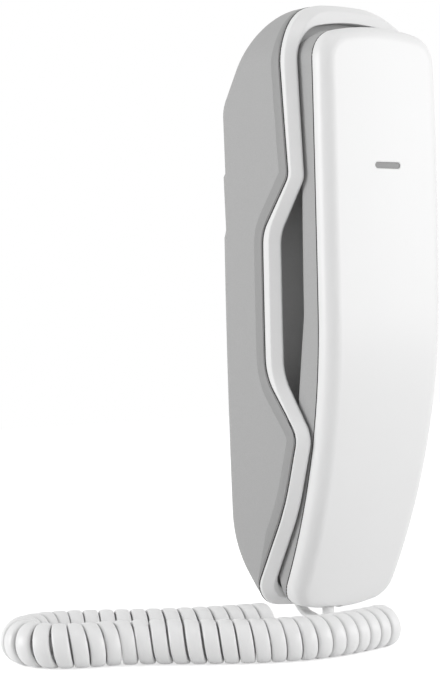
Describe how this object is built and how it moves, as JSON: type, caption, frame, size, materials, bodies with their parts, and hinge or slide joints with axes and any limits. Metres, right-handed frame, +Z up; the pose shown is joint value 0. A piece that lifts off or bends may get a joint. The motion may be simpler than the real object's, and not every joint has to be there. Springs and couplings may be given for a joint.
{
  "type": "wall telephone",
  "caption": "Slim one-piece corded wall telephone: handset with hidden keypad hanging in a rimmed cradle, hook plunger, modular jacks and a curly handset cord.",
  "frame": {"origin": "on the wall face, midway between the two wall-plate keyholes", "axes": "+X to the right seen from the front, +Y into the wall, +Z up; the telephone stands out of the wall towards -Y"},
  "size_m": [0.1614, 0.0808, 0.2185],
  "materials": {
    "shell_grey": "fine spark texture, pale grey",
    "white_plastic": "smooth white, satin gloss",
    "cradle_grey": "dark grey, matt",
    "soft_black": "soft black rubber",
    "key_grey": "pale grey keys with printed figures",
    "mat_grey": "grey silicone mat",
    "screw_steel": "zinc plated",
    "board_green": "green circuit board",
    "component_black": "black moulded housings",
    "plunger_grey": "grey acetal",
    "transformer_iron": "laminated core",
    "capacitor_can": "bare aluminium can",
    "ringer_brass": "brass sounder disc",
    "weight_iron": "plain cast weight",
    "jack_ivory": "pale moulded jack",
    "plug_clear": "clear moulded plug",
    "cord_white": "soft white cord jacket",
    "lens_smoke": "smoked grey lens",
    "lamp_red": "red lamp body"
  },
  "bodies": {
    "base": {"rear_shell": "shell_grey", "front_bezel": "white_plastic", "cradle": "cradle_grey", "rest_pads": "soft_black", "wall_pads": "soft_black", "base_screws": "screw_steel", "board_screws": "screw_steel", "base_board": "board_green", "board_chip": "component_black", "hook_switch": "component_black", "ringer_switch_body": "component_black", "line_transformer": "transformer_iron", "capacitor_upper": "capacitor_can", "capacitor_lower": "capacitor_can", "ringer": "ringer_brass", "line_jack": "jack_ivory", "base_handset_jack": "jack_ivory", "base_plug": "plug_clear", "base_lead": "cord_white", "curly_cord": "cord_white", "handset_lead": "cord_white"},
    "hook_plunger": {"hook_plunger": "plunger_grey"},
    "handset": {"handset_cover": "white_plastic", "handset_inner_shell": "shell_grey", "indicator_lens": "lens_smoke", "indicator_lamp": "lamp_red", "handset_board": "board_green", "keypad_mat": "mat_grey", "receiver": "component_black", "receiver_gasket": "soft_black", "microphone": "capacitor_can", "microphone_boot": "soft_black", "handset_weight": "weight_iron", "handset_jack": "jack_ivory", "handset_screws": "screw_steel", "handset_plug": "plug_clear"},
    "ringer_switch": {"ringer_switch_knob": "shell_grey"},
    "key_1": {"key_1": "key_grey"},
    "key_2": {"key_2": "key_grey"},
    "key_3": {"key_3": "key_grey"},
    "key_4": {"key_4": "key_grey"},
    "key_5": {"key_5": "key_grey"},
    "key_6": {"key_6": "key_grey"},
    "key_7": {"key_7": "key_grey"},
    "key_8": {"key_8": "key_grey"},
    "key_9": {"key_9": "key_grey"},
    "key_star": {"key_star": "key_grey"},
    "key_0": {"key_0": "key_grey"},
    "key_hash": {"key_hash": "key_grey"},
    "key_flash": {"key_flash": "key_grey"},
    "key_redial": {"key_redial": "key_grey"},
    "key_mute": {"key_mute": "key_grey"}
  },
  "joints": [
    {"name": "plunger_slide", "type": "slide", "parent": "base", "child": "hook_plunger", "axis": [0, -0.9848, 0.1736], "range_m": [0, 0.004], "stiffness_N_per_m": 25, "springref_m": 0.0045},
    {"name": "handset_lift", "type": "slide", "parent": "hook_plunger", "child": "handset", "axis": [0, -0.9848, 0.1736], "range_m": [0, 0.027]},
    {"name": "ringer_switch_slide", "type": "slide", "parent": "base", "child": "ringer_switch", "axis": [0, 0, 1], "range_m": [0, 0.004]},
    {"name": "key_1_press", "type": "slide", "parent": "handset", "child": "key_1", "axis": [0, -1, 0], "range_m": [0, 0.0011], "stiffness_N_per_m": 120, "springref_m": -0.0008},
    {"name": "key_2_press", "type": "slide", "parent": "handset", "child": "key_2", "axis": [0, -1, 0], "range_m": [0, 0.0011], "stiffness_N_per_m": 120, "springref_m": -0.0008},
    {"name": "key_3_press", "type": "slide", "parent": "handset", "child": "key_3", "axis": [0, -1, 0], "range_m": [0, 0.0011], "stiffness_N_per_m": 120, "springref_m": -0.0008},
    {"name": "key_4_press", "type": "slide", "parent": "handset", "child": "key_4", "axis": [0, -1, 0], "range_m": [0, 0.0011], "stiffness_N_per_m": 120, "springref_m": -0.0008},
    {"name": "key_5_press", "type": "slide", "parent": "handset", "child": "key_5", "axis": [0, -1, 0], "range_m": [0, 0.0011], "stiffness_N_per_m": 120, "springref_m": -0.0008},
    {"name": "key_6_press", "type": "slide", "parent": "handset", "child": "key_6", "axis": [0, -1, 0], "range_m": [0, 0.0011], "stiffness_N_per_m": 120, "springref_m": -0.0008},
    {"name": "key_7_press", "type": "slide", "parent": "handset", "child": "key_7", "axis": [0, -1, 0], "range_m": [0, 0.0011], "stiffness_N_per_m": 120, "springref_m": -0.0008},
    {"name": "key_8_press", "type": "slide", "parent": "handset", "child": "key_8", "axis": [0, -1, 0], "range_m": [0, 0.0011], "stiffness_N_per_m": 120, "springref_m": -0.0008},
    {"name": "key_9_press", "type": "slide", "parent": "handset", "child": "key_9", "axis": [0, -1, 0], "range_m": [0, 0.0011], "stiffness_N_per_m": 120, "springref_m": -0.0008},
    {"name": "key_star_press", "type": "slide", "parent": "handset", "child": "key_star", "axis": [0, -1, 0], "range_m": [0, 0.0011], "stiffness_N_per_m": 120, "springref_m": -0.0008},
    {"name": "key_0_press", "type": "slide", "parent": "handset", "child": "key_0", "axis": [0, -1, 0], "range_m": [0, 0.0011], "stiffness_N_per_m": 120, "springref_m": -0.0008},
    {"name": "key_hash_press", "type": "slide", "parent": "handset", "child": "key_hash", "axis": [0, -1, 0], "range_m": [0, 0.0011], "stiffness_N_per_m": 120, "springref_m": -0.0008},
    {"name": "key_flash_press", "type": "slide", "parent": "handset", "child": "key_flash", "axis": [0, -1, 0], "range_m": [0, 0.0011], "stiffness_N_per_m": 120, "springref_m": -0.0008},
    {"name": "key_redial_press", "type": "slide", "parent": "handset", "child": "key_redial", "axis": [0, -1, 0], "range_m": [0, 0.0011], "stiffness_N_per_m": 120, "springref_m": -0.0008},
    {"name": "key_mute_press", "type": "slide", "parent": "handset", "child": "key_mute", "axis": [0, -1, 0], "range_m": [0, 0.0011], "stiffness_N_per_m": 120, "springref_m": -0.0008}
  ]
}
